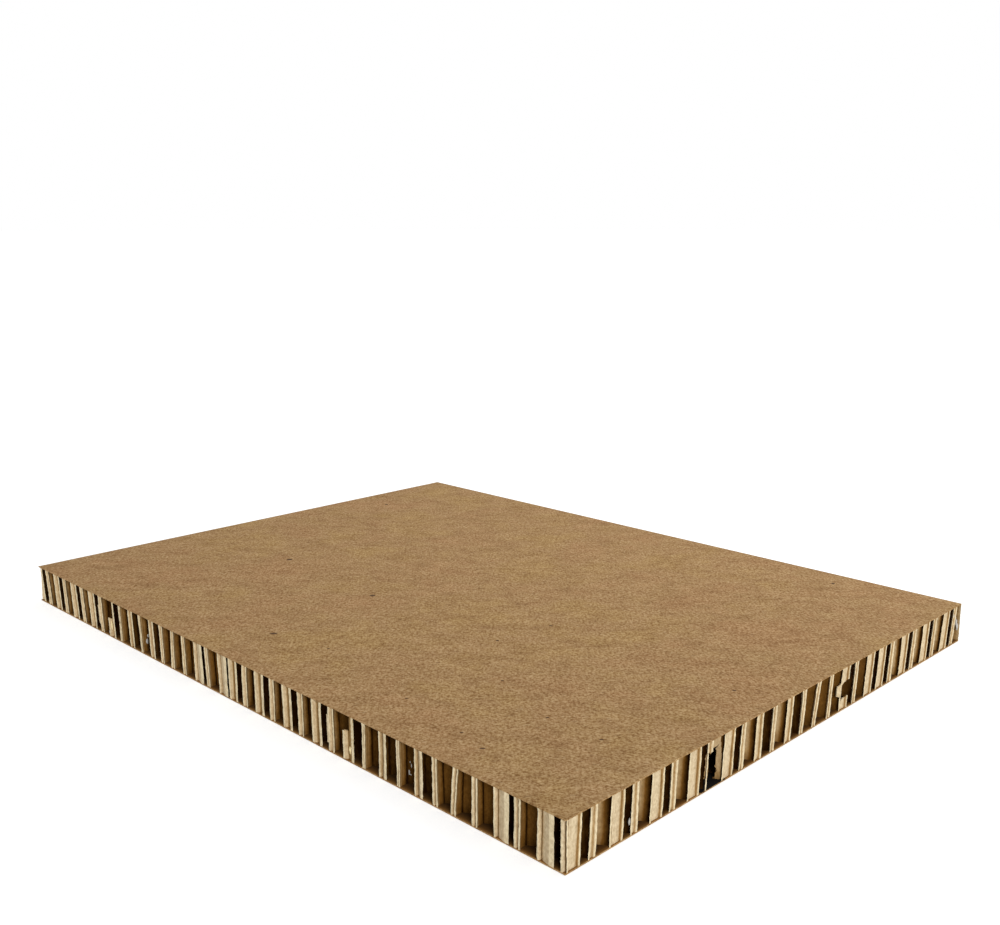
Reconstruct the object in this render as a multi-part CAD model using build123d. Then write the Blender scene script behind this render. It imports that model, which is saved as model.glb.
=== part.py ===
from build123d import *
import math
import os

# The board lies flat: X along its long side, Y along its short side, Z up, origin under its middle
board_length = 400
board_width = 300
board_thickness = 20
liner_thickness = 0.5
strip_thickness = 0.5

# The core is paper strips on edge, running along Y, each glued in turn to the strip on either side
cell_across = 10.45
cell_along = 10.9
glue_width = 2.7
side_setback = 1.2
end_setback = 2.7
edge_rows = 3

# Where a cut face opens a glued pair: how far its two strips spring apart, to the left and right
wide_left = 1.8
wide_right = 3.3
flat_left = 0.3
flat_right = 5.2
broad_left = 0.4
broad_right = 2.6
double_spring = 1.2
narrow_spring = 0.8
closed_spring = 0.3

# Along the two short sides the cut leaves only the glued troughs of one more strip: how far the
# flat of a trough reaches to the front and to the back of its glue line, and how far its ends run
wide_trough_front = 1.0
wide_trough_back = 4.2
broad_trough_back = 1.9
double_trough = 0.9
narrow_trough = 0.5
trough_run = 0.6

# Torn cells: a glued plane counted from the left end, or a glue line counted from the front end
front_torn_planes = (16, 54)
front_tear_width = 5.6
front_tear_foot = 11.5
right_torn_line = 14
right_tear_width = 9.8
right_tear_head = 16
right_pierced_line = 32
pierced_width = 5.0
pierced_foot = 4
pierced_head = 13
tear_depth = 5.7
tear_slant = 1.5

# The kinds of opening follow each other in this order, and the order comes round again
opening_order = (
    "wide", "double", "wide", "double", "wide", "double", "wide", "double", "wide", "closed",
    "broad", "closed", "broad", "narrow", "narrow", "narrow", "flat", "narrow", "flat",
)
springs = {
    "wide": (wide_left, wide_right),
    "flat": (flat_left, flat_right),
    "broad": (broad_left, broad_right),
    "double": (double_spring, double_spring),
    "narrow": (narrow_spring, narrow_spring),
    "closed": (closed_spring, closed_spring),
}
trough_halves = {
    "wide": (wide_trough_front, wide_trough_back),
    "flat": (wide_trough_front, wide_trough_back),
    "broad": (double_trough, broad_trough_back),
    "double": (double_trough, double_trough),
    "narrow": (narrow_trough, narrow_trough),
    "closed": (narrow_trough, narrow_trough),
}

core_height = board_thickness - 2 * liner_thickness
core_top = board_thickness - liner_thickness
half_length = board_length / 2
half_width = board_width / 2
cut_margin = 3 * strip_thickness

# Glued planes stand across X; an even count keeps a pair of strips at both ends of the board
plane_count = 2 * round((board_length - 2 * side_setback) / cell_across)
plane_pitch = (board_length - 2 * side_setback) / plane_count

# Glue lines follow each other along Y; an odd count closes the core the same way at both ends
line_count = 2 * round((board_width - 2 * end_setback) / cell_along) - 1
line_pitch = (board_width - 2 * end_setback) / line_count


def plane_x(index):
    return -half_length + side_setback + index * plane_pitch


def line_y(row):
    return -half_width + end_setback + row * line_pitch


# The rows of the hidden middle are left out, so that its cells are drawn as one long stretch
def kept_rows():
    front = list(range(edge_rows))
    back = [line_count - row for row in reversed(front)]
    return front + back


# Planes and glue lines are both counted in twos along a cut; the pair in the last corner stays shut
def opening(count):
    if count == plane_count:
        return "closed"
    return opening_order[count // 2 % len(opening_order)]


# A strip touches the plane on its left where index and row are both even or both odd
def strip_plane(index, row):
    return index + (index + row) % 2


def strip_x(index, row):
    if strip_plane(index, row) == index:
        return plane_x(index) + strip_thickness / 2
    return plane_x(index + 1) - strip_thickness / 2


# Where the glued stretch of a strip starts and ends; beside a short side it is as long as the trough
def glued_stretch(index, row, beside):
    y = line_y(row)
    if strip_plane(index, row) == beside:
        front, back = trough_halves[opening(row)]
        return y - front, y + back
    return y - glue_width / 2, y + glue_width / 2


# The loose end of a strip: from its first glue line out through the cut face
def loose_end(index, row, outward):
    plane = strip_plane(index, row)
    left, right = springs[opening(plane)]
    x = strip_x(index, row)
    face = outward * half_width
    start = line_y(row) + outward * glue_width / 2
    reach = right if plane == index else -left
    slope = reach / abs(face - start)
    tip_x = x + slope * (abs(face - start) + cut_margin)
    return [(tip_x, face + outward * cut_margin), (x, start)]


def strip_path(index, rows, beside=None):
    points = []
    for row in rows:
        x = strip_x(index, row)
        front, back = glued_stretch(index, row, beside)
        if row == rows[0]:
            points += loose_end(index, row, -1) + [(x, back)]
        elif row == rows[-1]:
            points += [(x, front)] + loose_end(index, row, 1)[::-1]
        else:
            points += [(x, front), (x, back)]
    return points


# Both faces of the paper, mitred at every fold of its middle line
def paper_outline(points):
    left = []
    right = []
    for number, (x, y) in enumerate(points):
        before = points[max(number - 1, 0)]
        after = points[min(number + 1, len(points) - 1)]
        turn_in = math.atan2(y - before[1], x - before[0])
        turn_out = math.atan2(after[1] - y, after[0] - x)
        if number == 0:
            turn_in = turn_out
        if number == len(points) - 1:
            turn_out = turn_in
        normal = (turn_in + turn_out) / 2 + math.pi / 2
        reach = strip_thickness / 2 / math.cos((turn_out - turn_in) / 2)
        left.append((x + reach * math.cos(normal), y + reach * math.sin(normal)))
        right.append((x - reach * math.cos(normal), y - reach * math.sin(normal)))
    return left + right[::-1]


def paper_strip(points):
    section = make_face(Polyline(*paper_outline(points), close=True))
    strip = extrude(section, core_height)
    return strip.moved(Location((0, 0, liner_thickness))) & core_space()


def core_space():
    middle = Location((0, 0, board_thickness / 2))
    return Box(board_length, board_width, core_height).moved(middle)


# What the cut leaves of the outermost strip: one trough at each glue line
def troughs(plane, outward):
    found = []
    x = plane_x(plane) + outward * strip_thickness / 2
    tip_x = outward * (half_length + cut_margin)
    steps = abs(tip_x - x) / (side_setback - strip_thickness / 2)
    run = trough_run * steps
    for row in range(0, line_count + 1, 2):
        front, back = trough_halves[opening(row)]
        start = line_y(row) - front
        end = line_y(row) + back
        points = [(tip_x, start - run), (x, start), (x, end), (tip_x, end + run)]
        found += paper_strip(points).solids()
    return found


# A hole through the plane of a cut face, reaching tear_depth inward, its foot and its head slanting
def torn_hole(width, foot, head):
    corners = [(0, foot), (width, foot + tear_slant), (width, head), (0, head - tear_slant)]
    return extrude(Plane.XZ * make_face(Polyline(*corners, close=True)), tear_depth, both=True)


# At the front the left strip of a pair is torn off at the top
def front_torn_holes():
    hole = torn_hole(front_tear_width, front_tear_foot, core_top + tear_slant)
    places = [plane_x(plane) - front_tear_width for plane in front_torn_planes]
    return [hole.moved(Location((place, -half_width, 0))) for place in places]


# At the right a trough is torn off but for its front end, with the wall behind it; another is pierced
def right_torn_holes():
    torn = torn_hole(right_tear_width, liner_thickness - tear_slant, right_tear_head)
    pierced = torn_hole(pierced_width, pierced_foot, pierced_head)
    torn_start = line_y(right_torn_line) - double_trough
    torn_place = Location((half_length, torn_start, 0), (0, 0, 90))
    pierced_place = Location((half_length, line_y(right_pierced_line), 0), (0, 0, 90))
    return [torn.moved(torn_place), pierced.moved(pierced_place)]


def with_tears(solid):
    for hole in front_torn_holes() + right_torn_holes():
        solid = solid - hole
    return solid.solids()


def strip_solids(index):
    if index < 0:
        return troughs(0, -1)
    if index == plane_count:
        return troughs(plane_count, 1)
    if index == 0:
        return paper_strip(strip_path(index, range(line_count + 1), 0)).solids()
    if index == plane_count - 1:
        return paper_strip(strip_path(index, range(line_count + 1), plane_count)).solids()
    return paper_strip(strip_path(index, kept_rows())).solids()


def core_pair(number):
    solids = []
    for index in (2 * number - 1, 2 * number):
        for solid in strip_solids(index):
            solids += with_tears(solid)
    return Compound(solids)


def liner(bottom):
    middle = Location((0, 0, bottom + liner_thickness / 2))
    return Box(board_length, board_width, liner_thickness).moved(middle)


def main():
    os.makedirs("parts", exist_ok=True)
    export_step(liner(0), "parts/bottom_liner.step")
    export_step(liner(board_thickness - liner_thickness), "parts/top_liner.step")
    for number in range(plane_count // 2 + 1):
        export_step(core_pair(number), f"parts/core_strips_{number + 1:02d}.step")


main()
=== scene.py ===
import math

import bpy
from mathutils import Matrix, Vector, noise


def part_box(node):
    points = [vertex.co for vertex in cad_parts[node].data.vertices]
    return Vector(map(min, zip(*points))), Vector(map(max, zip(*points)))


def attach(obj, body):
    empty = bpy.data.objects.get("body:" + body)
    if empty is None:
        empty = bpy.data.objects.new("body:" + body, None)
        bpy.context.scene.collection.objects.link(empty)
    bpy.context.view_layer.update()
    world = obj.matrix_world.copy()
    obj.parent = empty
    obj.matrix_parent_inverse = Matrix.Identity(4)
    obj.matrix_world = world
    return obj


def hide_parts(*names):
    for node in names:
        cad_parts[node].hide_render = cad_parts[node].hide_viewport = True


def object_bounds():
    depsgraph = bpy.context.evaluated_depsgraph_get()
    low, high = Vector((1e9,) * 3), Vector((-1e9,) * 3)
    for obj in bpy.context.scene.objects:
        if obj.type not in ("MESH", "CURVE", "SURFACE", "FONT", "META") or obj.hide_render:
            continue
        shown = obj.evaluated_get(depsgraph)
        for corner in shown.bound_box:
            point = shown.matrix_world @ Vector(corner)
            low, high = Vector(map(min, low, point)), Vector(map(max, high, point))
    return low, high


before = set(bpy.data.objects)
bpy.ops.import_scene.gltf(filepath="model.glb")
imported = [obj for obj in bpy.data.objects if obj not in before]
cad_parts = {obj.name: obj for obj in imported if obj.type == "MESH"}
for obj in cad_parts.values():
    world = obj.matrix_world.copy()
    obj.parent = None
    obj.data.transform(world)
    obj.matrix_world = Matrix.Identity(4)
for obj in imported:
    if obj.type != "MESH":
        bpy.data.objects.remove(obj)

print("frame loaded:", len(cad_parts), "nodes")
mm = 0.001
noise.seed_set(7)               # so that the paper wanders alike in every run
cadLow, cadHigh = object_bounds()
halfLength = (cadHigh.x - cadLow.x) / 2 / mm
halfWidth = (cadHigh.y - cadLow.y) / 2 / mm
thickness = (cadHigh.z - cadLow.z) / mm
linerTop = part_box("bottom_liner")[1][2] / mm      # upper side of the lower liner
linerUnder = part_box("top_liner")[0][2] / mm       # under side of the upper liner

# The core, in millimetres, laid out as the CAD strips are
core = {
    "paper": 0.5,               # thickness of one strip
    "cellAcross": 10.45,
    "cellAlong": 10.9,
    "glueWidth": 2.7,
    "sideSetback": 1.2,
    "endSetback": 2.7,
    "edgeRows": 3,              # glue lines drawn near each long side
    "troughRun": 0.6,
    "beyond": 1.5,              # how far past the cut a path runs before it is cut off
    "order": (
        "wide", "double", "wide", "double", "wide", "double", "wide", "double", "wide", "closed",
        "broad", "closed", "broad", "narrow", "narrow", "narrow", "flat", "narrow", "flat"),
    # how far the two strips of a pair spring apart where a cut opens them: left, right
    "springs": {"wide": (1.8, 3.3), "flat": (0.3, 5.2), "broad": (0.4, 2.6),
                "double": (1.2, 1.2), "narrow": (0.8, 0.8), "closed": (0.3, 0.3)},
    # the flat of a trough along a short side: to the front and to the back of its glue line
    "troughs": {"wide": (1.0, 4.2), "flat": (1.0, 4.2), "broad": (0.9, 1.9),
                "double": (0.9, 0.9), "narrow": (0.5, 0.5), "closed": (0.5, 0.5)},
}
coreLength = 2 * (halfLength - core["sideSetback"])
planeCount = 2 * round(coreLength / core["cellAcross"])
planePitch = coreLength / planeCount
coreWidth = 2 * (halfWidth - core["endSetback"])
lineCount = 2 * round(coreWidth / core["cellAlong"]) - 1
linePitch = coreWidth / lineCount


def planeX(index):
    return -halfLength + core["sideSetback"] + index * planePitch


def lineY(row):
    return -halfWidth + core["endSetback"] + row * linePitch


def keptRows():
    front = list(range(core["edgeRows"]))
    return front + [lineCount - row for row in reversed(front)]


def opening(count):
    if count == planeCount:
        return "closed"
    return core["order"][count // 2 % len(core["order"])]


# The glued plane that a strip touches at a row: its left one or its right one in turn
def stripPlane(index, row):
    return index + (index + row) % 2


def stripX(index, row):
    if stripPlane(index, row) == index:
        return planeX(index) + core["paper"] / 2
    return planeX(index + 1) - core["paper"] / 2


def gluedStretch(index, row, beside):
    y = lineY(row)
    if stripPlane(index, row) == beside:
        front, back = core["troughs"][opening(row)]
        return y - front, y + back
    return y - core["glueWidth"] / 2, y + core["glueWidth"] / 2


# The loose end of a strip, from its first glue line out through the cut face
def looseEnd(index, row, outward):
    plane = stripPlane(index, row)
    left, right = core["springs"][opening(plane)]
    x = stripX(index, row)
    face = outward * halfWidth
    start = lineY(row) + outward * core["glueWidth"] / 2
    spring = right if plane == index else -left
    tipX = x + spring * (1 + core["beyond"] / abs(face - start))
    return [(tipX, face + outward * core["beyond"]), (x, start)]


def stripPath(index, rows, beside=None):
    points = []
    for row in rows:
        x = stripX(index, row)
        front, back = gluedStretch(index, row, beside)
        if row == rows[0]:
            points += looseEnd(index, row, -1) + [(x, back)]
        elif row == rows[-1]:
            points += [(x, front)] + looseEnd(index, row, 1)[::-1]
        else:
            points += [(x, front), (x, back)]
    return points


def troughPath(plane, outward, row):
    x = planeX(plane) + outward * core["paper"] / 2
    tipX = outward * (halfLength + core["beyond"])
    run = core["troughRun"] * abs(tipX - x) / (core["sideSetback"] - core["paper"] / 2)
    front, back = core["troughs"][opening(row)]
    start, end = lineY(row) - front, lineY(row) + back
    return [(tipX, start - run), (x, start), (x, end), (tipX, end + run)]


# How finely the paper is divided, and how limp and roughly sawn it is; sizes in millimetres
paperLook = {
    "levels": 15,               # rows of faces up the height of a strip
    "nearStep": 0.8,            # face length near the cut
    "farStep": 60.0,            # face length in the hidden middle
    "nearDepth": 13.0,          # how deep the fine faces go
    "longStretch": 52.0,        # a longer straight stretch runs through the hidden middle
    "tornLevels": 46,           # the torn strips are divided finer
    "tornStep": 0.3,
    "fold": 0.7,                # how softly the paper turns at a fold
    "foldShare": 0.4,           # the most that a fold takes of a stretch
    "foldSteps": (0, 0.33, 0.67, 1),
    "samePlane": 0.1,           # folds that lie nearer than this are on one plane
    "wave": 0.32,               # slow wander of the walls
    "waveSize": 9.0,
    "waveTall": 0.45,           # below 1 the wander is drawn out upward
    "crumple": 0.10,            # short ripple of the paper
    "crumpleSize": 2.2,
    "crumpleShift": (31, 7, 3),
    "gripHeight": 1.5,          # so near a liner the paper is held, and keeps this share of its wander
    "gripShare": 0.35,
    "calmDepth": 0.6,           # the wander across the cut fades so near to it
    "ragged": 0.28,             # how unevenly the saw left the strip ends
    "raggedFine": (3.1, 0.9),   # along the board, upward
    "onCut": 0.05,              # what lies on the cut, and the share of its wander along the cut
    "onCutShare": 0.6,
    "burr": 0.16,               # how much the sawn edge is fluffed up
    "burrDepth": 0.7,
    "burrFine": (1.3, 1.1),
    # the rim of a strip that lies along the cut is less bright on the near face: the least, and the
    # steepness where it starts to grow and what it takes to be full
    "rimLeast": 0.2,
    "rimSteep": 0.3,
    "rimGrowth": 0.35,
}


# Paper turns on a small curve: every fold becomes a few points
def softened(points):
    path = [points[0]]
    for before, here, after in zip(points, points[1:], points[2:]):
        ends = []
        for other in (before, after):
            length = math.dist(here, other)
            share = min(paperLook["fold"], paperLook["foldShare"] * length) / length
            ends.append((here[0] + share * (other[0] - here[0]), here[1] + share * (other[1] - here[1])))
        spots = (ends[0], here, ends[1])
        for t in paperLook["foldSteps"]:
            weights = ((1 - t) ** 2, 2 * t * (1 - t), t ** 2)
            path.append(tuple(sum(w * p[axis] for w, p in zip(weights, spots)) for axis in (0, 1)))
    return path + [points[-1]]


# The two faces of the paper either side of its middle line, mitred at the folds
def paperSides(points):
    sides = ([], [])
    for number, (x, y) in enumerate(points):
        before = points[max(number - 1, 0)]
        after = points[min(number + 1, len(points) - 1)]
        turnIn = math.atan2(y - before[1], x - before[0])
        turnOut = math.atan2(after[1] - y, after[0] - x)
        if number == 0:
            turnIn = turnOut
        if number == len(points) - 1:
            turnOut = turnIn
        normal = (turnIn + turnOut) / 2 + math.pi / 2
        offset = core["paper"] / 2 / math.cos((turnOut - turnIn) / 2)
        for side, sign in zip(sides, (1, -1)):
            side.append((x + sign * offset * math.cos(normal), y + sign * offset * math.sin(normal)))
    return sides


# Cuts the first and last stretch of a side at the board's outline
def cutAt(side, axis, first, last):
    side = list(side)
    for end, inner, limit in ((0, 1, first), (-1, -2, last)):
        p, q = side[end], side[inner]
        if q[axis] != p[axis]:
            share = (limit - q[axis]) / (p[axis] - q[axis])
            side[end] = tuple(q[k] + share * (p[k] - q[k]) for k in (0, 1))
    return side


def depthInside(x, y):
    return min(halfLength - abs(x), halfWidth - abs(y))


tears = {
    "fronts": ((16, 8.5), (54, 11.5)),          # glued plane and foot of the hole
    "frontWidth": 5.6,
    "rightLine": 14,
    "rightWidth": 9.8,
    "rightHead": 16.0,
    "piercedLine": 32,
    "piercedWidth": 5.0,
    "piercedFoot": 4.0,
    "piercedHead": 13.0,
    "depth": 5.7,
    "margin": 1.5,              # how far beside a hole the paper is divided finer
    "slant": 1.5,
    "waves": ((0.7, 0.9), (0.35, 2.6)),         # how far the torn edge wanders, and how finely
    "sideShare": 0.4,           # how much of that shows at the sides of a hole
}


def tornWave(waves, x, y, z):
    return sum(height * noise.noise(Vector((x, y, z)) * fine) for height, fine in waves)


# The torn holes: the face they open on, where along it they start, width, foot and head
def tornPlaces():
    frontHead = linerUnder + tears["slant"]
    width = tears["frontWidth"]
    places = [("front", planeX(plane) - width, width, foot, frontHead)
              for plane, foot in tears["fronts"]]
    start = lineY(tears["rightLine"]) - core["troughs"]["double"][0]
    places.append(("right", start, tears["rightWidth"], linerTop - tears["slant"], tears["rightHead"]))
    start = lineY(tears["piercedLine"])
    places.append(("right", start, tears["piercedWidth"], tears["piercedFoot"], tears["piercedHead"]))
    return places


# How far along a torn hole a spot is, from 0 to 1, or None where the hole isn't
def alongTear(face, start, width, x, y):
    if face == "front" and y < -halfWidth + tears["depth"]:
        share = (x - start) / width
    elif face == "right" and x > halfLength - tears["depth"]:
        share = (y - start) / width
    else:
        return None
    return share if 0 < share < 1 else None


def isTorn(x, y, z):
    wave = tornWave(tears["waves"], x, y, z)
    side = tears["sideShare"] * wave
    for face, start, width, foot, head in tornPlaces():
        share = alongTear(face, start - side, width + 2 * side, x, y)
        if share is None:
            continue
        if foot + share * tears["slant"] + wave < z < head - (1 - share) * tears["slant"] + wave:
            return True
    return False


def besideTear(x, y, margin):
    for face, start, width, _, _ in tornPlaces():
        if alongTear(face, start - margin, width + 2 * margin, x, y) is not None:
            return True
    return False


# Extra points along both sides: close together near the cut faces, closer beside a torn hole, few in
# the hidden middle
def refined(left, right):
    columns = [(left[0], right[0])]
    for number in range(len(left) - 1):
        a, b = left[number], left[number + 1]
        c, d = right[number], right[number + 1]
        length = max(math.dist(a, b), math.dist(c, d))
        near = min(depthInside(*a), depthInside(*b)) < paperLook["nearDepth"]
        step = paperLook["nearStep"] if near else paperLook["farStep"]
        if length > paperLook["longStretch"]:
            step = paperLook["farStep"]
        elif besideTear(*a, tears["margin"]) or besideTear(*b, tears["margin"]):
            step = paperLook["tornStep"]
        count = max(1, round(length / step))
        for part in range(1, count + 1):
            t = part / count
            columns.append((
                (a[0] + t * (b[0] - a[0]), a[1] + t * (b[1] - a[1])),
                (c[0] + t * (d[0] - c[0]), c[1] + t * (d[1] - c[1]))))
    return columns


# A slow wander shared by all paper near a spot, so that glued faces stay together
def wander(x, y, z):
    slow = noise.noise_vector(Vector((x, y, z * paperLook["waveTall"])) / paperLook["waveSize"])
    quickPlace = Vector((x, y, z)) / paperLook["crumpleSize"] + Vector(paperLook["crumpleShift"])
    quick = noise.noise_vector(quickPlace)
    dx = paperLook["wave"] * slow.x + paperLook["crumple"] * quick.x
    dy = paperLook["wave"] * slow.y + paperLook["crumple"] * quick.y
    return dx, dy


# A value that falls or rises in straight stretches between the given steps
def between(steps, value):
    for (fromValue, fromTone), (toValue, toTone) in zip(steps, steps[1:]):
        if value <= toValue:
            share = max(0, (value - fromValue) / (toValue - fromValue))
            return fromTone + share * (toTone - fromTone)
    return steps[-1][1]


leans = {                       # how far the top of the core leans past its foot, mm
    "front": ((-200.0, -2.6), (20.0, 0.0)),
    "right": ((-150.0, 0.9), (150.0, 3.0)),
    "wander": 0.7,
    "wanderSize": 31.0,
    "faceShift": 5.0,           # keeps the wander of the two directions apart
    "width": 5.0,               # how far along the board a leaning cell pulls its neighbours
    "deep": 9.0,                # how deep into the board
    "cornerReach": 6.0,         # the lean fades so near to a corner
    "places": (("front", 147.0, 2.0), ("front", -54.0, 1.5), ("right", 8.6, 1.6)),
}


# The lean of the core near a cut face, from -1/2 at the foot to 1/2 at the top
def leaned(x, y, z):
    rise = (z - thickness / 2) / thickness
    depths = (halfWidth - abs(y), halfLength - abs(x))
    shift = [0.0, 0.0]
    for axis, face, near in ((0, "front", y < 0), (1, "right", x > 0)):
        depth, fromCorner = depths[axis], depths[1 - axis]
        if depth > leans["deep"]:
            continue
        here = (x, y)[axis]
        amount = noise.noise(Vector((here / leans["wanderSize"], leans["faceShift"] * axis, 0)))
        amount = between(leans[face], here) + leans["wander"] * amount
        for placeFace, place, extra in leans["places"]:
            if placeFace == face and near:
                amount += extra * math.exp(-((here - place) / leans["width"]) ** 2)
        lean = amount * rise * (1 - depth / leans["deep"])
        shift[axis] += lean * min(1, fromCorner / leans["cornerReach"])
    return shift


def fineNoise(fine, x, y, z):
    along, up = fine
    return noise.noise(Vector((x * along, y * along, z * up)))


# Moves a point of the ideal strip to where limp, sawn paper has it; away points off the paper's middle
def shaped(x, y, z, away):
    dx, dy = wander(x, y, z)
    leanX, leanY = leaned(x, y, z)
    least, height = paperLook["gripShare"], paperLook["gripHeight"]
    loose = least + (1 - least) * min(1, (z - linerTop) / height, (linerUnder - z) / height)
    dx *= loose
    dy *= loose
    depthX, depthY = halfLength - abs(x), halfWidth - abs(y)
    fluff = paperLook["burr"] * max(0, 1 - min(depthX, depthY) / paperLook["burrDepth"])
    fluff *= 0.5 + fineNoise(paperLook["burrFine"], x, y, z)
    newX = x + leanX + dx * min(1, depthX / paperLook["calmDepth"]) + fluff * away[0]
    newY = y + leanY + dy * min(1, depthY / paperLook["calmDepth"]) + fluff * away[1]
    chip = paperLook["ragged"] * abs(fineNoise(paperLook["raggedFine"], x, y, z))
    if depthX < paperLook["onCut"]:
        newX = x - math.copysign(chip, x)
        newY += paperLook["onCutShare"] * dy
    if depthY < paperLook["onCut"]:
        newY = y - math.copysign(chip, y)
        newX += paperLook["onCutShare"] * dx
    newX = max(-halfLength, min(halfLength, newX))
    newY = max(-halfWidth, min(halfWidth, newY))
    return newX * mm, newY * mm, z * mm


# How pale the paper is, its scuffed paleness and painted shade: 1 where the saw scuffed it, 0 deep in a
# cell where the shade is painted
tones = {
    # the loose ends of an opened pair, the left and the right one; the two differ by painted light and
    # shade
    "flaps": {"wide": (0.77, 0.50), "flat": (0.88, 0.91), "broad": (0.66, 0.84),
              "double": (0.77, 0.81), "narrow": (0.70, 0.70), "closed": (0.64, 0.64)},
    "endFlaps": 1.0,            # the flaps of the first and the last plane
    # painted shade where the pair parts, deepening with the depth
    "flapFade": ((0.0, 1.0), (1.05, 0.97), (1.3, 0.50), (1.6, 0.40)),     # dark where the pair parts
    "flapDepth": 1.6,
    # painted shade on the outer sides of the pair, which face the next cells
    "outerShaded": ((0.0, 0.80), (0.35, 0.42), (1.6, 0.26)),
    "outerOpen": ((0.0, 0.85), (0.35, 0.50), (1.6, 0.37)),
    # the walls of a cell by the depth from the cut, in painted shade that deepens inward: cells beside a
    # wide flap lie in its shade
    "walls": {"wide": "shaded", "flat": "shaded", "broad": "behindBroad",
              "double": "beforeWide", "narrow": "open", "closed": "beforeWide"},
    "shaded": ((1.3, 0.30), (1.9, 0.06), (3.5, 0.02), (6.0, 0.0)),
    "behindBroad": ((1.3, 0.32), (1.9, 0.13), (3.5, 0.10), (7.0, 0.08)),
    "open": ((1.3, 0.36), (2.2, 0.30), (3.2, 0.26), (4.5, 0.22), (6.5, 0.17), (10.0, 0.06)),
    "beforeWide": ((1.3, 0.47), (2.3, 0.37), (3.1, 0.27), (3.9, 0.18), (4.7, 0.12), (8.0, 0.05)),
    "wallStart": 1.3,
    # how soon the painted shade of the walls deepens, along X
    "wallReach": ((-200.0, 1.9), (0.0, 1.35), (200.0, 0.95)),         # how soon they darken, along X
    # painted shade along the fold at the end of a glued stretch
    "crease": 0.34,             # dark line where a wall turns at the end of a glued stretch
    "creaseWidth": 0.8,
    "creaseFrom": 3.0,
    "creaseTo": 9.0,
    # painted light and shade on the strip behind the troughs of a short side, by the distance from its
    # glued stretches
    "zigzagFrom": 6.0,          # how far from the long sides it starts
    "zigzagShaded": ((0.4, 0.0), (1.2, 0.02), (3.0, 0.08), (4.6, 0.16)),
    "zigzagOpen": ((0.3, 0.02), (1.4, 0.10), (2.2, 0.26), (2.9, 0.46), (3.5, 0.58), (4.6, 0.66)),
    "zigzagNarrow": ((0.0, 0.05), (0.3, 0.14), (1.4, 0.17), (2.9, 0.22), (5.2, 0.34)),
    # how soon the painted light on the open walls comes, along Y
    "zigzagReach": ((-150.0, 1.0), (-20.0, 1.45), (60.0, 2.6), (150.0, 3.8)),
    # painted shade where the strip turns deep in the cell
    "seam": 0.3,                # how much darker the strip is where it turns deep in the cell
    "seamWidth": 0.8,
    # the troughs, in painted light and shade: the risen front ends, the risen back ends by the distance
    # from their foot, and the floor by the distance from its end toward the back
    "run": 0.16,
    "openRun": 0.80,            # the same beside the cells that lie open
    "runReach": 3.0,            # how far before its glue line a front end may start
    "backRun": {"wide": 0.64, "flat": 0.64, "broad": 0.80,
                "double": 0.95, "narrow": 0.90, "closed": 0.95},
    "backFade": ((0.0, 0.28), (0.25, 0.50), (0.5, 0.92), (0.8, 1.0)),
    "floor": ((0.0, 0.30), (0.4, 0.62), (1.1, 0.88), (2.6, 1.0)),
    "floorTurn": 0.97,          # paper that runs along Y as straight as this is the floor
    # painted shade: the cell walls darken toward the foot
    "foot": ((0.5, 0.62), (6.0, 0.95), (12.0, 1.0)),          # cell walls are darker toward the foot
    # the bent wall behind the torn trough: where it starts and ends along Y, its tone, and the wedge of
    # shade at its top: tone, foot, head, and how far across the wall it reaches at the head
    "bent": (-60.8, -59.2, 0.62),
    "wedge": (0.10, 7.0, 19.5, 0.5),
    # painted shade, black, for the depths seen through the torn holes of the front: centre along X and Y,
    # radius, foot, head
    "gloom": ((-114.0, -144.0, 6.0, 5.0, 17.5), (84.5, -144.5, 5.0, 9.0, 15.0)),
    "gloomTone": -0.3,
    "cornerRun": 0.85,          # the open front end of the first trough at the left corner
    "cornerDepth": 2.6,
}


# A cell takes the name of the opening before it; those behind a broad flap get painted shade from the cut
# on
def shadedCell(count):
    return opening(count) in ("wide", "flat", "broad")


# The trough or the gap of a short side that a spot belongs to, by the row it starts at
def rowAt(y, early=0.0):
    return 2 * int((y - lineY(0) + early) / linePitch / 2)


# Painted light and shade of the troughs along a short side
def troughTone(x, y, along, foldDistance, seam):
    if abs(along[1]) > tones["floorTurn"]:
        return between(tones["floor"], foldDistance)
    kind = opening(rowAt(y, tones["runReach"]))
    if x < 0 and y < tones["cornerDepth"] - halfWidth:
        return tones["cornerRun"]
    if seam < foldDistance:
        return tones["run" if kind in ("wide", "flat") else "openRun"]
    return tones["backRun"][kind] * between(tones["backFade"], foldDistance)


# Painted light and shade of the strip behind the troughs
def zigzagTone(x, y, foldDistance, seam):
    bentStart, bentEnd, bentTone = tones["bent"]
    if x > 0 and bentStart < y < bentEnd:
        return bentTone
    row = rowAt(y)
    dark = tones["seam"] * max(0, 1 - seam / tones["seamWidth"])
    if shadedCell(row):
        tone = between(tones["zigzagShaded"], foldDistance)
    elif opening(row) == "narrow":
        tone = between(tones["zigzagNarrow"], foldDistance)
    else:
        tone = between(tones["zigzagOpen"], foldDistance * between(tones["zigzagReach"], y))
    return max(0, tone - dark)


# The row of the glue line nearest to a long side, on the side where a spot lies
def endRow(y):
    return 0 if y < 0 else lineCount


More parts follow.
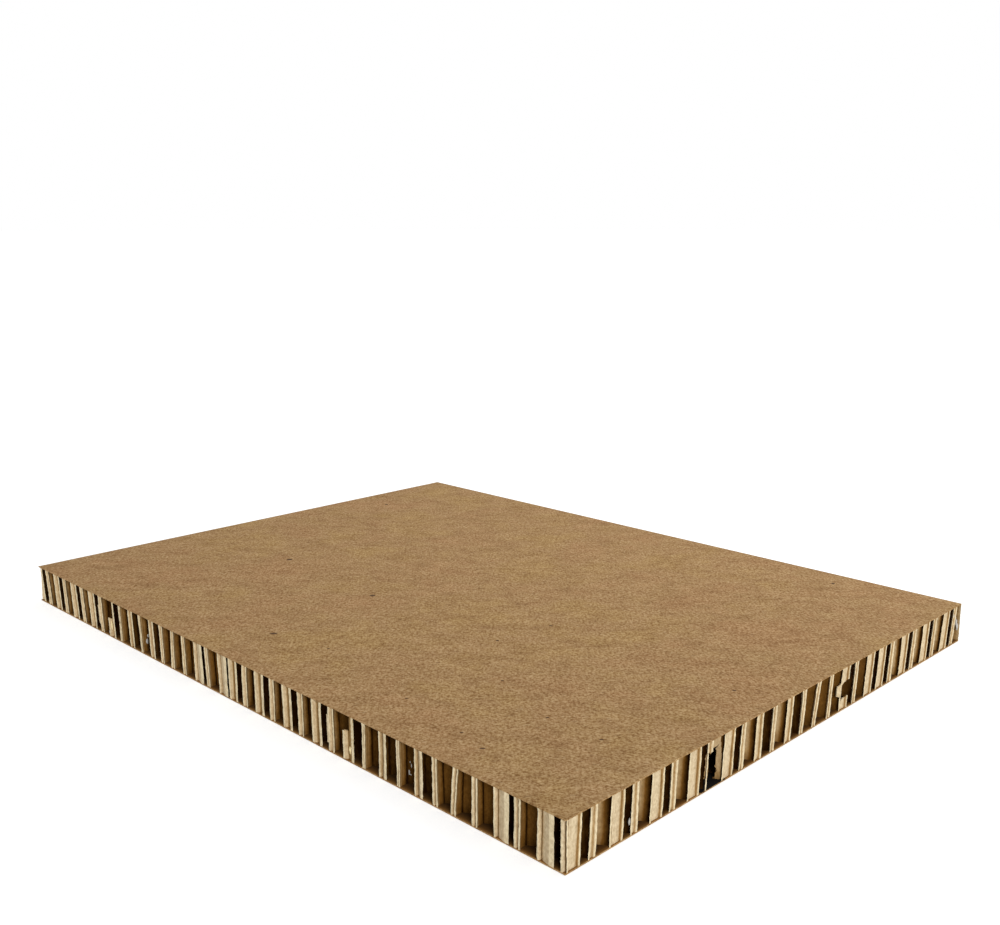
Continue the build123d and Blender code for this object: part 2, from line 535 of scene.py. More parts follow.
# Flaps are scuffed pale, with painted light where they show; walls that run straight in get painted shade
# that deepens with the depth.  The fold distance is the one from the nearest fold of the wall, seam the
# one from its nearest seam
def paleAt(kind, index, place, along, foldDistance, seam):
    x, y = place
    depth = halfWidth - abs(y)
    if kind == "trough":
        return troughTone(x, y, along, foldDistance, seam)
    if kind == "zigzag" and depth > tones["zigzagFrom"]:
        return zigzagTone(x, y, foldDistance, seam)
    if depth < tones["flapDepth"]:
        plane = stripPlane(index, endRow(y))
        side = 1 if plane == index else 0
        # the flap's tone: scuffed paleness with painted light and shade
        flapTone = tones["flaps"][opening(plane)][side] if 0 < plane < planeCount else tones["endFlaps"]
        return flapTone * between(tones["flapFade"], depth)
    # painted shade: darker along the folds and deeper in the cell
    crease = 0
    if tones["creaseFrom"] < depth < tones["creaseTo"]:
        crease = tones["crease"] * max(0, 1 - foldDistance / tones["creaseWidth"])
    walls = tones[tones["walls"][opening(index - index % 2)]]
    far = tones["wallStart"] + (depth - tones["wallStart"]) * between(tones["wallReach"], x)
    return max(0, between(walls, far) - crease)


# The tones of the left and the right face of the paper: the outer side of a flap gets painted shade
def flapSides(kind, index, place, tone):
    depth = halfWidth - abs(place[1])
    sides = [tone, tone]
    if kind == "trough" or depth > tones["flapDepth"]:
        return sides
    outer = 1 if stripPlane(index, endRow(place[1])) == index else 0
    cell = index - index % 2 if outer else index - 1
    sides[outer] = min(tone, between(tones["outerShaded" if shadedCell(cell) else "outerOpen"], depth))
    return sides


# The tones of both faces at a spot; a scrap has one tone all over
def wallTones(wall, place, along):
    if wall["kind"] == "scrap":
        return [wall["pale"], wall["pale"]]
    foldDistance = min(math.dist(place, fold) for fold in wall["folds"])
    seam = min(math.dist(place, fold) for fold in wall["seams"])
    tone = paleAt(wall["kind"], wall["index"], place, along, foldDistance, seam)
    return flapSides(wall["kind"], wall["index"], place, tone)


# Painted shade: cell walls are darker toward the foot, the depths of the torn holes are black, and the
# bent wall has a wedge of shade at its top
def shadeAt(kind, place, tone, z):
    shade = tone
    if depthInside(*place) > tones["flapDepth"]:
        shade *= between(tones["foot"], z)
        for x, y, radius, foot, head in tones["gloom"]:
            if math.dist(place, (x, y)) < radius and foot < z < head:
                return tones["gloomTone"]
    start, end, _ = tones["bent"]
    if kind == "zigzag" and place[0] > 0 and start < place[1] < end:
        dark, foot, head, across = tones["wedge"]
        rise = max(0, (z - foot) / (head - foot))
        if (place[1] - start) / (end - start) > 1 - across * rise:
            return dark
    return shade


# How sawn the two faces of a column are.  A strip cut square has a bright rim all over; where a flap lies
# along the cut only the far edge of its broad rim is bright
def sawnRim(kind, columns, number, away):
    if number not in (0, len(columns) - 1):
        return 0, 0
    steep = abs(away[1]) if kind == "trough" else abs(away[0])
    near = min(1, (steep - paperLook["rimSteep"]) / paperLook["rimGrowth"])
    near = max(paperLook["rimLeast"], near)
    axis = 1 if kind == "trough" else 0
    neighbour = columns[1 if number == 0 else number - 1]
    spring = columns[number][0][axis] - neighbour[0][axis]
    leftIsFar = spring * away[axis] > 0
    return (1, near) if leftIsFar else (near, 1)


# The corners of a wall: at every column its left and its right face, from the foot to the head
def addCorners(sheet, columns, heights, wall):
    for number, (left, right) in enumerate(columns):
        gap = math.dist(left, right) or 1
        away = ((left[0] - right[0]) / gap, (left[1] - right[1]) / gap)
        middle = ((left[0] + right[0]) / 2, (left[1] + right[1]) / 2)
        rim = sawnRim(wall["kind"], columns, number, away)
        sides = wallTones(wall, middle, (away[1], -away[0]))
        for z in heights:
            sheet["vertices"].append(shaped(*left, z, away))
            sheet["vertices"].append(shaped(*right, z, (-away[0], -away[1])))
            sheet["pale"].extend(shadeAt(wall["kind"], middle, side, z) for side in sides)
            sheet["sawn"].extend(rim)


# Paper walls as closed sheets: every kept cell has two faces, and a rim where its neighbour is missing
def addWall(sheet, columns, levels, gone, wall):
    heights = [linerTop + (linerUnder - linerTop) * level / levels for level in range(levels + 1)]
    base = len(sheet["vertices"])
    addCorners(sheet, columns, heights, wall)

    def corner(column, level, side):
        return base + 2 * (column * len(heights) + level) + side

    kept = set()
    for column in range(len(columns) - 1):
        (ax, ay), (bx, by) = columns[column][0], columns[column + 1][1]
        for level in range(levels):
            middle = ((ax + bx) / 2, (ay + by) / 2, (heights[level] + heights[level + 1]) / 2)
            if gone is None or not gone(*middle):
                kept.add((column, level))
    for column, level in sorted(kept):
        ring = [(column, level), (column + 1, level), (column + 1, level + 1), (column, level + 1)]
        sheet["faces"].append([corner(c, v, 0) for c, v in ring])
        sheet["faces"].append([corner(c, v, 1) for c, v in reversed(ring)])
        sides = (((column, level - 1), ring[0], ring[1]), ((column + 1, level), ring[1], ring[2]),
                 ((column, level + 1), ring[2], ring[3]), ((column - 1, level), ring[3], ring[0]))
        for neighbour, p, q in sides:
            if neighbour not in kept:
                sheet["faces"].append([corner(*q, 0), corner(*p, 0), corner(*p, 1), corner(*q, 1)])


def addPath(sheet, path, axis, first, last, kind, index):
    left, right = paperSides(softened(path))
    left, right = cutAt(left, axis, first, last), cutAt(right, axis, first, last)
    columns = refined(left, right)
    torn = any(besideTear(*spot, 0.0) for spot, _ in columns)
    levels = paperLook["tornLevels"] if torn else paperLook["levels"]
    # a trough has its fold at its back foot and its seam at its front one; the zigzag strip has its
    # folds at the troughs and its seams deep in the cells
    folds = seams = path[1:-1]
    if kind == "trough":
        folds, seams = [path[2]], [path[1]]
    if kind == "zigzag":
        outer = max(abs(x) for x, _ in folds[1:-1])
        near = paperLook["samePlane"]
        seams = [(x, y) for x, y in folds if abs(abs(x) - outer) > near]
        folds = [(x, y) for x, y in folds if abs(abs(x) - outer) < near]
    wall = {"kind": kind, "index": index, "folds": folds, "seams": seams}
    addWall(sheet, columns, levels, isTorn if torn else None, wall)


def addStrip(sheet, index):
    if index in (-1, planeCount):
        outward = -1 if index < 0 else 1
        face = outward * halfLength
        for row in range(0, lineCount + 1, 2):
            path = troughPath(max(index, 0), outward, row)
            addPath(sheet, path, 0, face, face, "trough", index)
        return
    path, kind = stripPath(index, keptRows()), "inner"
    if index == 0:
        path, kind = stripPath(index, range(lineCount + 1), 0), "zigzag"
    elif index == planeCount - 1:
        path, kind = stripPath(index, range(lineCount + 1), planeCount), "zigzag"
    addPath(sheet, path, 1, -halfWidth, halfWidth, kind, index)


# Torn bits of paper that still hang on, by the number of the strip pair: each bends along a short path,
# between a foot and a head that come nearer to each other by the taper toward its loose end
scraps = {
    39: (
        {"path": ((199.0, 31.0), (199.6, 29.6), (199.6, 28.2), (199.1, 26.8)),
         "foot": 5.6, "head": 13.8, "taper": 2.6, "pale": 0.92},
        {"path": ((199.1, -70.2), (199.0, -66.5), (198.9, -62.2)),
         "foot": 16.4, "head": 30.0, "taper": -0.6, "pale": 0.66},
    ),
    27: (
        {"path": ((72.0, -149.2), (71.3, -149.6), (70.4, -149.5)),
         "foot": 3.4, "head": 16.0, "taper": 1.0, "pale": 0.92},
    ),
    8: (
        {"path": ((-126.8, -149.2), (-127.7, -149.6), (-128.8, -149.5)),
         "foot": 4.0, "head": 15.0, "taper": 1.6, "pale": 0.92},
    ),
}
scrapWaves = ((1.2, 0.8), (0.7, 2.3))       # how far a scrap's edge wanders, and how finely


def addScrap(sheet, scrap):
    path, taper = scrap["path"], scrap["taper"]
    left, right = paperSides(softened(path))
    columns = refined(left, right)
    first, last = Vector(path[0]), Vector(path[-1])

    def outside(x, y, z):
        out = (Vector((x, y)) - first).length / (last - first).length
        wave = tornWave(scrapWaves, x, y, z)
        return not scrap["foot"] + taper * out ** 2 + wave < z < scrap["head"] - taper * out ** 2 + wave

    addWall(sheet, columns, paperLook["tornLevels"], outside, {"kind": "scrap", "pale": scrap["pale"]})


def addObject(name, data):
    thing = bpy.data.objects.new(name, data)
    bpy.context.collection.objects.link(thing)
    return thing


def newObject(name, vertices, faces, material, smooth=True):
    mesh = bpy.data.meshes.new(name)
    mesh.from_pydata(vertices, [], faces)
    mesh.polygons.foreach_set("use_smooth", [smooth] * len(mesh.polygons))
    mesh.materials.append(material)
    return addObject(name, mesh)


# A number stored at each vertex, which the material reads
def storeValues(piece, name, values):
    piece.data.attributes.new(name, "FLOAT", "POINT").data.foreach_set("value", values)


# Node helpers
def startMaterial(name):
    material = bpy.data.materials.new(name)
    material.use_nodes = True
    return material, material.node_tree, material.node_tree.nodes["Principled BSDF"]


def noiseNode(tree, source, scale, detail=4.0, rough=0.6):
    node = tree.nodes.new("ShaderNodeTexNoise")
    node.inputs["Scale"].default_value = scale
    node.inputs["Detail"].default_value = detail
    node.inputs["Roughness"].default_value = rough
    tree.links.new(source, node.inputs["Vector"])
    return node.outputs["Fac"]


def attribute(tree, name):
    node = tree.nodes.new("ShaderNodeAttribute")
    node.attribute_name = name
    return node.outputs["Fac"]


# Grain drawn out along each axis by so much, and then turned
def stretched(tree, source, longer, turn=0.0):
    node = tree.nodes.new("ShaderNodeMapping")
    node.vector_type = "TEXTURE"
    node.inputs["Scale"].default_value = longer
    node.inputs["Rotation"].default_value = (0, 0, turn)
    tree.links.new(source, node.inputs["Vector"])
    return node.outputs["Vector"]


def ramp(tree, source, stops):
    node = tree.nodes.new("ShaderNodeValToRGB")
    elements = node.color_ramp.elements
    while len(elements) < len(stops):
        elements.new(0.5)
    for element, (place, colour) in zip(elements, stops):
        element.position = place
        element.color = (*colour, 1)
    tree.links.new(source, node.inputs["Fac"])
    return node.outputs["Color"]


def mixed(tree, kind, factor, a, b):
    node = tree.nodes.new("ShaderNodeMix")
    node.data_type = "RGBA"
    node.blend_type = kind
    for name, value in (("Factor", factor), ("A", a), ("B", b)):
        socket = [s for s in node.inputs if s.name == name and s.enabled][0]
        if isinstance(value, (float, int)):
            socket.default_value = value
        elif isinstance(value, tuple):
            socket.default_value = (*value, 1)
        else:
            tree.links.new(value, socket)
    return [s for s in node.outputs if s.enabled][0]


# Multiplies a colour by a tint that a noise picks from the stops
def tinted(tree, colour, strength, source, stops):
    return mixed(tree, "MULTIPLY", strength, colour, ramp(tree, source, stops))


def maths(tree, kind, a, b=None, c=None):
    node = tree.nodes.new("ShaderNodeMath")
    node.operation = kind
    for number, value in enumerate((a, b, c)):
        if value is None:
            continue
        if isinstance(value, (float, int)):
            node.inputs[number].default_value = value
        else:
            tree.links.new(value, node.inputs[number])
    return node.outputs[0]


def limited(tree, value, low, high):
    return maths(tree, "MINIMUM", maths(tree, "MAXIMUM", value, low), high)


def painted(tree, shader, colour, look):
    tree.links.new(colour, shader.inputs["Base Color"])
    shader.inputs["Roughness"].default_value = look["rough"]
    shader.inputs["Specular IOR Level"].default_value = look["shine"]


def bumped(tree, shader, height, look):
    strength, distance = look["bump"]
    node = tree.nodes.new("ShaderNodeBump")
    node.inputs["Strength"].default_value = strength
    node.inputs["Distance"].default_value = distance * mm
    tree.links.new(height, node.inputs["Height"])
    tree.links.new(node.outputs["Normal"], shader.inputs["Normal"])


# Brown kraft liner: matted fibres, soft clouds, short dark hairs and a few dark specks; sizes in mm
kraft = {
    "grain": ((0.42, (0.230, 0.116, 0.036)), (0.5, (0.384, 0.229, 0.098)), (0.58, (0.516, 0.346, 0.176))),
    "fibreSize": 1.0,
    "fibres": ((2.6, 0.3, 1.15), (2.4, 1.35, 1.3), (2.2, 2.4, 1.05)),     # length, turn, fineness
    "patches": ((3.6, 0.46), (10.0, 0.40)),       # size, strength
    "patchLength": 1.9,
    "patchTurn": 0.7,
    "patchTint": ((0.30, (0.66, 0.57, 0.46)), (0.5, (1.0, 1.0, 1.0)), (0.68, (1.18, 1.22, 1.28))),
    "cloudSize": 34.0,
    "cloudStrength": 0.7,
    "cloudTint": ((0.32, (1.0, 0.93, 0.94)), (0.5, (0.98, 0.98, 0.98)), (0.68, (1.02, 1.04, 0.90))),
    "softDetail": 3.0,          # of patches and clouds
    "hair": (0.13, 0.065, 0.025),
    "hairShape": (4.0, 0.9, 0.8),                 # length, turn, fineness
    "hairDetail": 2.0,
    "hairShare": 0.34,          # the noise below this is hair
    "hairStrength": 0.45,
    "rough": 0.88,
    "shine": 0.2,
    "bump": (0.45, 0.15),       # strength, height
    # painted shade on the sides that face the cells, darker with the depth from the cut: depth and colour
    "inner": ((0.0, (0.34, 0.18, 0.055)), (0.5, (0.22, 0.10, 0.020)), (1.6, (0.10, 0.042, 0.006)),
              (4.0, (0.05, 0.02, 0.002))),
    "skin": 0.02,               # what counts as lying on these sides
    # painted shade on the floor behind the torn trough
    "hole": (196.5, -66.2, 8.6, 0.02),      # floor behind the torn trough: centre, radius, how dark
    # specks on top: place along the long and the short side, length, width; all turned alike
    "specks": (
        (-109.8, -43.5, 3.8, 3.2), (-24.4, -50.9, 3.4, 2.8), (-13.4, -118.6, 4.2, 2.4),
        (143.7, -133.2, 2.6, 1.3), (128.3, -129.4, 1.8, 1.2), (-172.6, 79.0, 2.6, 2.6),
        (170.2, -97.0, 2.0, 1.2), (68.6, -51.5, 1.8, 1.6), (142.5, -96.9, 1.8, 1.2),
        (103.8, -83.2, 1.6, 1.2), (179.8, -23.7, 2.0, 1.4), (72.6, -19.4, 2.2, 1.4),
        (89.1, -123.5, 1.6, 1.0), (20.9, -112.2, 1.6, 1.2), (136.5, 134.3, 2.2, 2.6)),
    "speck": (0.05, 0.022, 0.010),
    "speckTurn": 0.8,
    "speckEdge": 3.5,           # how sharp
    "speckStrength": 0.9,
}


# A thin ellipse around each speck: 1 on it, 0 elsewhere
def speckMask(tree, place):
    mask = None
    for x, y, length, width in kraft["specks"]:
        spot = tree.nodes.new("ShaderNodeMapping")
        spot.vector_type = "TEXTURE"
        spot.inputs["Location"].default_value = (x * mm, y * mm, thickness * mm)
        spot.inputs["Rotation"].default_value = (0, 0, kraft["speckTurn"])
        spot.inputs["Scale"].default_value = (length * mm / 2, width * mm / 2, mm)
        tree.links.new(place, spot.inputs["Vector"])
        size = tree.nodes.new("ShaderNodeVectorMath")
        size.operation = "LENGTH"
        tree.links.new(spot.outputs["Vector"], size.inputs[0])
        near = maths(tree, "SUBTRACT", 1.0, size.outputs["Value"])
        mask = near if mask is None else maths(tree, "MAXIMUM", mask, near)
    soft = maths(tree, "MULTIPLY", mask, kraft["speckEdge"])
    return limited(tree, soft, 0.0, kraft["speckStrength"])


# Three layers of fibres that lie across one another
def fibreNoise(tree, place, fineness):
    fibre = None
    for longer, turn, fine in kraft["fibres"]:
        drawn = stretched(tree, place, (longer, 1.0, 1.0), turn)
        layer = noiseNode(tree, drawn, fineness * fine)
        layer = maths(tree, "MULTIPLY", layer, 1 / len(kraft["fibres"]))
        fibre = layer if fibre is None else maths(tree, "ADD", fibre, layer)
    return fibre


def apart(tree, place):
    split = tree.nodes.new("ShaderNodeSeparateXYZ")
    tree.links.new(place, split.inputs[0])
    return split.outputs


# 1 on the sides of the liners that face the cells
def facesCells(tree, place):
    height = maths(tree, "SUBTRACT", apart(tree, place)[2], thickness * mm / 2)
    height = maths(tree, "ABSOLUTE", height)
    return maths(tree, "LESS_THAN", height, (thickness / 2 - linerTop + kraft["skin"]) * mm)


# The colour of the cell floors with painted shade, darker with the depth from the nearest cut face and
# behind the torn trough
def cellFloor(tree, place):
    x, y, _ = apart(tree, place)
    insideX = maths(tree, "SUBTRACT", halfLength * mm, maths(tree, "ABSOLUTE", x))
    insideY = maths(tree, "SUBTRACT", halfWidth * mm, maths(tree, "ABSOLUTE", y))
    depth = maths(tree, "MINIMUM", insideX, insideY)
    last = kraft["inner"][-1][0]
    share = maths(tree, "DIVIDE", depth, last * mm)
    colour = ramp(tree, share, [(far / last, colour) for far, colour in kraft["inner"]])
    holeX, holeY, radius, dark = kraft["hole"]
    fromHole = tree.nodes.new("ShaderNodeVectorMath")
    fromHole.operation = "DISTANCE"
    tree.links.new(place, fromHole.inputs[0])
    fromHole.inputs[1].default_value = (holeX * mm, holeY * mm, linerTop * mm)
    near = maths(tree, "LESS_THAN", fromHole.outputs["Value"], radius * mm)
    return mixed(tree, "MULTIPLY", near, colour, (dark, dark, dark))


def kraftMaterial(name):
    material, tree, shader = startMaterial(name)
    place = tree.nodes.new("ShaderNodeTexCoord").outputs["Object"]
    fineness = 1 / (kraft["fibreSize"] * mm)
    fibre = fibreNoise(tree, place, fineness)
    colour = ramp(tree, fibre, kraft["grain"])
    for patchSize, strength in kraft["patches"]:
        drawn = stretched(tree, place, (kraft["patchLength"], 1.0, 1.0), kraft["patchTurn"])
        patch = noiseNode(tree, drawn, 1 / (patchSize * mm), kraft["softDetail"])
        colour = tinted(tree, colour, strength, patch, kraft["patchTint"])
    cloud = noiseNode(tree, place, 1 / (kraft["cloudSize"] * mm), kraft["softDetail"])
    colour = tinted(tree, colour, kraft["cloudStrength"], cloud, kraft["cloudTint"])
    longer, turn, fine = kraft["hairShape"]
    drawn = stretched(tree, place, (longer, 1.0, 1.0), turn)
    hair = noiseNode(tree, drawn, fineness * fine, kraft["hairDetail"])
    hairs = maths(tree, "LESS_THAN", hair, kraft["hairShare"])
    hairs = maths(tree, "MULTIPLY", hairs, kraft["hairStrength"])
    colour = mixed(tree, "MIX", hairs, colour, kraft["hair"])
    colour = mixed(tree, "MIX", speckMask(tree, place), colour, kraft["speck"])
    inner = facesCells(tree, place)
    colour = mixed(tree, "MIX", inner, colour, cellFloor(tree, place))
    painted(tree, shader, colour, kraft)
    bumped(tree, shader, fibre, kraft)
    return material


def dressLiners():
    material = kraftMaterial("kraftLiner")
    for name in ("top_liner", "bottom_liner"):
        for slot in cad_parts[name].material_slots:
            slot.material = material
    print("liners dressed")


# Core paper: cream where the saw fluffed it, tan where it is scuffed, dark brown deep in the cells as
# painted shade
strip = {
    "cut": (0.88, 0.75, 0.50),
    # the tones from painted shade deep in a cell to the scuffed cream
    "shades": ((0.0, (0.018, 0.006, 0.0008)), (0.25, (0.20, 0.092, 0.018)), (0.5, (0.42, 0.27, 0.115)),
               (0.95, (0.78, 0.64, 0.42))),
    "rough": 0.9,
    "shine": 0.0,
    "wobbleSize": 1.6,          # mm
    "wobbleTall": 2.5,
    "wobble": 0.16,             # how much the tone varies
    # the sawn rim reaches a little way onto the two faces: how unevenly, from where, how softly
    "rimWobble": 0.25,
    "rimFrom": 0.75,
    "rimSoft": 0.12,
    "fibreSize": 0.8,
    "fibreTall": 1.7,
    "fibreStrength": 0.6,
    "fibreTint": ((0.35, (0.62, 0.55, 0.48)), (0.62, (1.0, 1.0, 1.0))),
    "blotchSize": 2.6,
    "blotchDetail": 3.0,
    "blotchStrength": 0.5,
    "blotchTint": ((0.35, (0.74, 0.70, 0.64)), (0.60, (1.0, 1.0, 1.0))),
    "bump": (0.5, 0.2),         # strength, height
}


def tallNoise(tree, place, tall, size):
    return noiseNode(tree, stretched(tree, place, (1.0, 1.0, tall)), 1 / (size * mm))


def stripMaterial(name):
    material, tree, shader = startMaterial(name)
    place = tree.nodes.new("ShaderNodeTexCoord").outputs["Object"]
    wobble = tallNoise(tree, place, strip["wobbleTall"], strip["wobbleSize"])
    wobble = maths(tree, "SUBTRACT", wobble, 0.5)
    tone = maths(tree, "MULTIPLY_ADD", wobble, strip["wobble"], attribute(tree, "pale"))
    colour = ramp(tree, tone, strip["shades"])
    rim = maths(tree, "MULTIPLY_ADD", wobble, strip["rimWobble"], attribute(tree, "sawn"))
    rim = maths(tree, "SUBTRACT", rim, strip["rimFrom"])
    rim = limited(tree, maths(tree, "DIVIDE", rim, strip["rimSoft"]), 0.0, 1.0)
    colour = mixed(tree, "MIX", rim, colour, strip["cut"])
    fibre = tallNoise(tree, place, strip["fibreTall"], strip["fibreSize"])
    colour = tinted(tree, colour, strip["fibreStrength"], fibre, strip["fibreTint"])
    blotch = noiseNode(tree, place, 1 / (strip["blotchSize"] * mm), strip["blotchDetail"])
    colour = tinted(tree, colour, strip["blotchStrength"], blotch, strip["blotchTint"])
    painted(tree, shader, colour, strip)
    bumped(tree, shader, fibre, strip)
    return material


def makeCore():
    material = stripMaterial("corePaper")
    for number in range(planeCount // 2 + 1):
        # beside the mesh, how pale the paper is with its painted shade, and how sawn, at each vertex
        sheet = {"vertices": [], "faces": [], "pale": [], "sawn": []}
        for index in (2 * number - 1, 2 * number):
            addStrip(sheet, index)
        for scrap in scraps.get(number + 1, ()):
            addScrap(sheet, scrap)
        name = f"stripPair_{number + 1:02d}"
        piece = newObject(name, sheet["vertices"], sheet["faces"], material, smooth=False)
        storeValues(piece, "pale", sheet["pale"])
        storeValues(piece, "sawn", sheet["sawn"])
        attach(piece, "root")
        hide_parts(f"core_strips_{number + 1:02d}")
    print("core strips made")


# Dried white glue that ran down at the cut: centre, half sizes, and 1 where it has yellowed
glue = {
    "white": (0.46, 0.44, 0.40),
    "yellow": (0.95, 0.78, 0.42),
    "rough": 0.55,
    "shine": 0.5,
    "grainSize": 0.9,           # mm
    "grainStrength": 0.5,
    "grainTint": ((0.35, (0.72, 0.70, 0.66)), (0.6, (1.0, 1.0, 1.0))),
    "lumpy": 0.35,
    "lumpFine": 1.6,
    "rings": 8,
    "sides": 12,
    "beads": (
        (116.6, -145.7, 5.4, 0.35, 0.35, 1.3, 0), (117.3, -145.1, 8.0, 0.3, 0.3, 0.9, 0),
        (116.9, -145.4, 9.6, 0.3, 0.3, 0.45, 0), (117.0, -145.3, 4.4, 0.6, 0.3, 0.35, 0),
        (-82.9, -147.0, 5.4, 0.3, 0.8, 1.5, 0), (-82.9, -146.3, 8.2, 0.3, 0.6, 1.0, 0),
        (29.4, -149.4, 5.5, 0.5, 0.45, 1.1, 0), (30.0, -149.7, 8.0, 0.4, 0.25, 1.4, 0),
        (-169.3, -149.4, 6.0, 0.6, 0.5, 1.3, 0),
        (85.2, -149.4, 5.2, 0.8, 0.6, 2.1, 1),
        (-117.9, -149.3, 2.1, 0.9, 0.5, 0.9, 0), (-115.2, -149.3, 6.2, 0.5, 0.5, 2.6, 1),
        (199.3, -116.1, 5.4, 0.5, 0.7, 1.5, 0), (199.65, -115.3, 8.6, 0.3, 0.5, 1.5, 0),
        (199.4, 142.6, 15.0, 0.4, 1.5, 1.3, 0), (199.5, 144.4, 13.4, 0.4, 1.5, 1.7, 0),
        (199.5, 146.3, 10.8, 0.4, 1.3, 2.1, 0), (199.5, 148.0, 7.8, 0.4, 1.2, 2.0, 0)),
}


def glueMaterial(name):
    material, tree, shader = startMaterial(name)
    place = tree.nodes.new("ShaderNodeTexCoord").outputs["Object"]
    grain = noiseNode(tree, place, 1 / (glue["grainSize"] * mm))
    colour = mixed(tree, "MIX", attribute(tree, "yellow"), glue["white"], glue["yellow"])
    colour = tinted(tree, colour, glue["grainStrength"], grain, glue["grainTint"])
    painted(tree, shader, colour, glue)
    return material


# A lumpy bead, kept inside the board's outline
def beadVertices(x, y, z, halfX, halfY, halfZ):
    vertices = []
    for ring in range(glue["rings"] + 1):
        tilt = math.pi * ring / glue["rings"]
        for side in range(glue["sides"]):
            turn = 2 * math.pi * side / glue["sides"]
            flat = math.sin(tilt)
            out = Vector((flat * math.cos(turn), flat * math.sin(turn), math.cos(tilt)))
            lump = noise.noise(out * glue["lumpFine"] + Vector((x, y, z)))
            swell = 1 + glue["lumpy"] * (lump - 0.5)
            spot = Vector((
                x + halfX * out.x * swell, y + halfY * out.y * swell, z + halfZ * out.z * swell))
            spot.x = max(-halfLength, min(halfLength, spot.x))
            spot.y = max(-halfWidth, min(halfWidth, spot.y))
            vertices.append(spot * mm)
    return vertices


def makeGlue():
    vertices, faces, yellows = [], [], []
    sides = glue["sides"]
    for *shape, yellow in glue["beads"]:
        base = len(vertices)
        vertices += beadVertices(*shape)
        yellows += [yellow] * (len(vertices) - base)
        for ring in range(glue["rings"]):
            for side in range(sides):
                a = base + ring * sides + side
                b = base + ring * sides + (side + 1) % sides
                faces.append([a, a + sides, b + sides, b])
    piece = newObject("glueDrips", vertices, faces, glueMaterial("driedGlue"))
    storeValues(piece, "yellow", yellows)
    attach(piece, "root")
    print("glue drips made")


studio = {
    "camera": (422.6, -399.1, 207.6),
    "target": (-232.3, 272.0, 0.0),
    "focalPixels": 1134.1,
    "sensorWidth": 36,
    "frameWidth": 1000,
    "frameHeight": 925,
    "centreX": 520.3,           # where the lens axis meets the picture
    "centreY": 476.4,
    "skyLight": 0.42,
    "keyStrength": 2.15,
    "keyFrom": (0.78, -0.45, 0.43),
    "keySoftness": 28,          # degrees
    # a soft box above the far side, so that the near side of the board is a little darker
    "boxPower": 1.2,
    "boxSide": 0.4,
    "boxAt": (0.15, 0.35, 0.55),
    "boxAim": (0.02, 0.10, 0.0),
    "floorColour": (0.86, 0.86, 0.86),
    "floorGlow": 0.45,
    "floorSide": 40.0,          # metres, from the middle
    "floorDrop": 0.0002,
}


def makeCamera():
    width, height = studio["frameWidth"], studio["frameHeight"]
    data = bpy.data.cameras.new("photoCamera")
    data.sensor_width = studio["sensorWidth"]
    data.lens = data.sensor_width * studio["focalPixels"] / width
    data.shift_x = (width / 2 - studio["centreX"]) / width
    data.shift_y = (studio["centreY"] - height / 2) / width
    camera = addObject("photoCamera", data)
    camera.location = Vector(studio["camera"]) * mm
    aim = Vector(studio["target"]) * mm - camera.location
    camera.rotation_euler = aim.to_track_quat("-Z", "Y").to_euler()
    bpy.context.scene.camera = camera


# 1 for what the camera sees straight, in a mirror or through glass
def seenByCamera(tree):
    path = tree.nodes.new("ShaderNodeLightPath")
    indirect = maths(
        tree, "MAXIMUM", path.outputs["Is Glossy Ray"], path.outputs["Is Transmission Ray"])
    return maths(tree, "MAXIMUM", path.outputs["Is Camera Ray"], indirect)


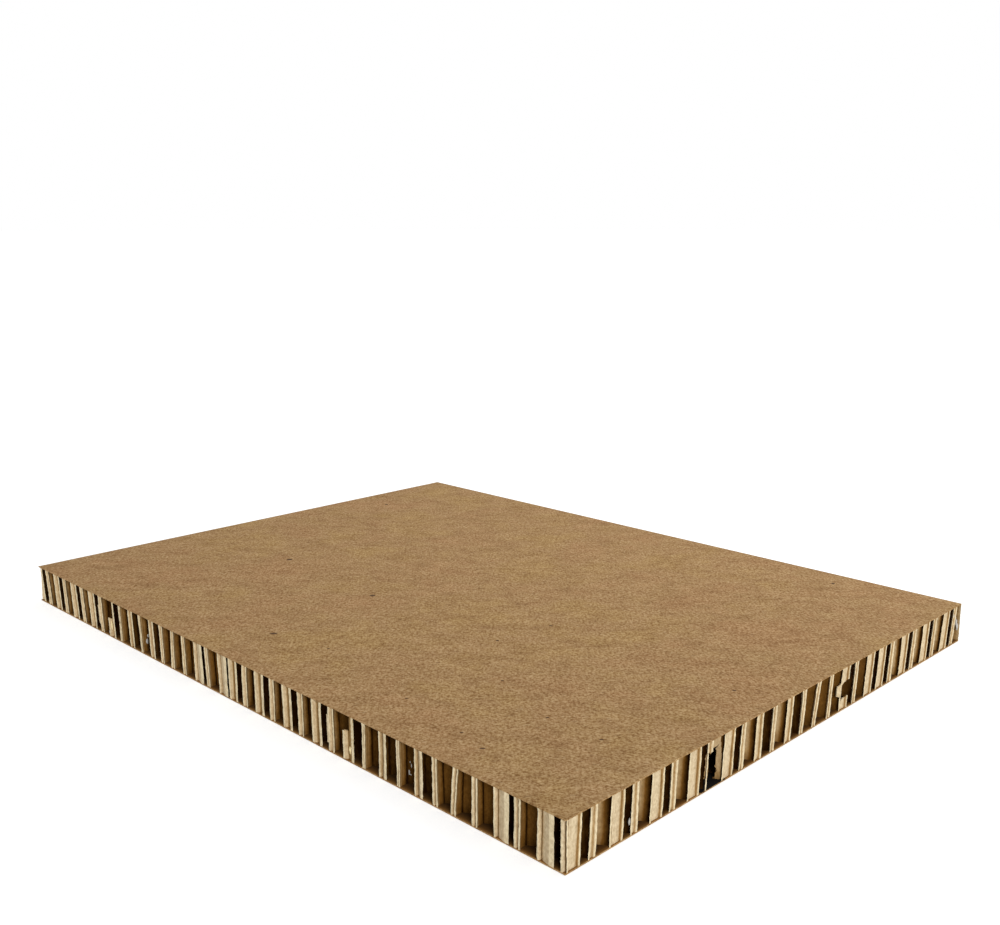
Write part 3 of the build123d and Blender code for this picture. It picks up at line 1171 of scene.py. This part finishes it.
# The camera sees a white room, but the light that it gives is weaker
def makeRoom():
    world = bpy.data.worlds.new("paleRoom")
    bpy.context.scene.world = world
    world.use_nodes = True
    tree = world.node_tree
    background = tree.nodes["Background"]
    white = tree.nodes.new("ShaderNodeBackground")
    for node, strength in ((background, studio["skyLight"]), (white, 1)):
        node.inputs["Color"].default_value = (1, 1, 1, 1)
        node.inputs["Strength"].default_value = strength
    mix = tree.nodes.new("ShaderNodeMixShader")
    tree.links.new(seenByCamera(tree), mix.inputs["Fac"])
    tree.links.new(background.outputs[0], mix.inputs[1])
    tree.links.new(white.outputs[0], mix.inputs[2])
    tree.links.new(mix.outputs[0], tree.nodes["World Output"].inputs["Surface"])


def makeLight():
    sun = bpy.data.lights.new("softKey", "SUN")
    sun.energy = studio["keyStrength"]
    sun.angle = math.radians(studio["keySoftness"])
    key = addObject("softKey", sun)
    key.rotation_euler = Vector(studio["keyFrom"]).to_track_quat("Z", "Y").to_euler()
    box = bpy.data.lights.new("softBox", "AREA")
    box.energy = studio["boxPower"]
    box.size = studio["boxSide"]
    above = addObject("softBox", box)
    above.location = studio["boxAt"]
    back = above.location - Vector(studio["boxAim"])
    above.rotation_euler = back.to_track_quat("Z", "Y").to_euler()


# A matt floor that glows a little where the camera sees it, so that it looks white
def floorMaterial(name):
    material, tree, shader = startMaterial(name)
    tree.nodes.remove(shader)
    matt = tree.nodes.new("ShaderNodeBsdfDiffuse")
    matt.inputs["Color"].default_value = (*studio["floorColour"], 1)
    glow = tree.nodes.new("ShaderNodeEmission")
    strength = maths(tree, "MULTIPLY", seenByCamera(tree), studio["floorGlow"])
    tree.links.new(strength, glow.inputs["Strength"])
    both = tree.nodes.new("ShaderNodeAddShader")
    tree.links.new(matt.outputs[0], both.inputs[0])
    tree.links.new(glow.outputs[0], both.inputs[1])
    tree.links.new(both.outputs[0], tree.nodes["Material Output"].inputs["Surface"])
    return material


def makeFloor():
    side = studio["floorSide"]
    corners = [(-side, -side, 0), (side, -side, 0), (side, side, 0), (-side, side, 0)]
    floor = newObject("paleFloor", corners, [(0, 1, 2, 3)], floorMaterial("paleFloor"), smooth=False)
    floor.location.z = -studio["floorDrop"]


makeCamera()
makeRoom()
makeLight()
makeFloor()
print("studio ready")
dressLiners()
makeCore()
makeGlue()
bpy.context.scene.view_settings.view_transform = "Standard"
